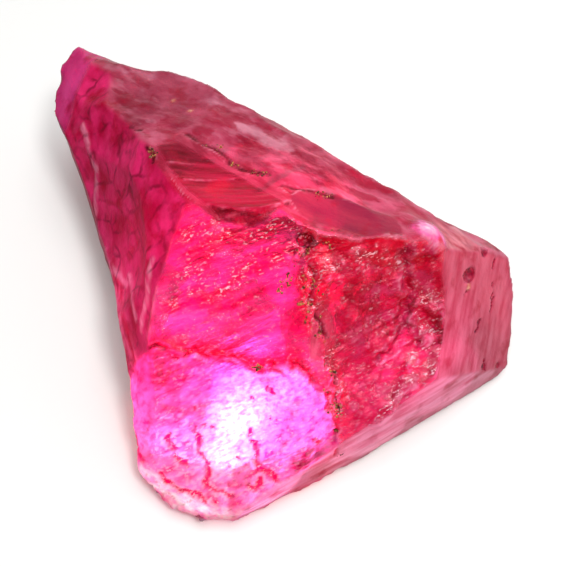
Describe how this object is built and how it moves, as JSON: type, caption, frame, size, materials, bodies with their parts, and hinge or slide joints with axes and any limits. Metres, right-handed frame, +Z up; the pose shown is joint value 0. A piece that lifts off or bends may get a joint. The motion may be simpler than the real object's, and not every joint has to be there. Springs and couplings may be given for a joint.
{
  "type": "raw ruby crystal",
  "caption": "Broken lump of raw translucent red ruby with a smooth growth face, shell-shaped fracture faces and a flat resting face.",
  "frame": {"origin": "middle of the bounding box at the resting face", "axes": "+Z up from the resting face, +X towards the smooth growth face, +Y towards the pointed tip"},
  "size_m": [0.049, 0.0508, 0.0207],
  "materials": {
    "ruby": "natural, satin growth face and sugary fractures"
  },
  "bodies": {
    "root": {"ruby_crystal": "ruby"}
  },
  "joints": []
}
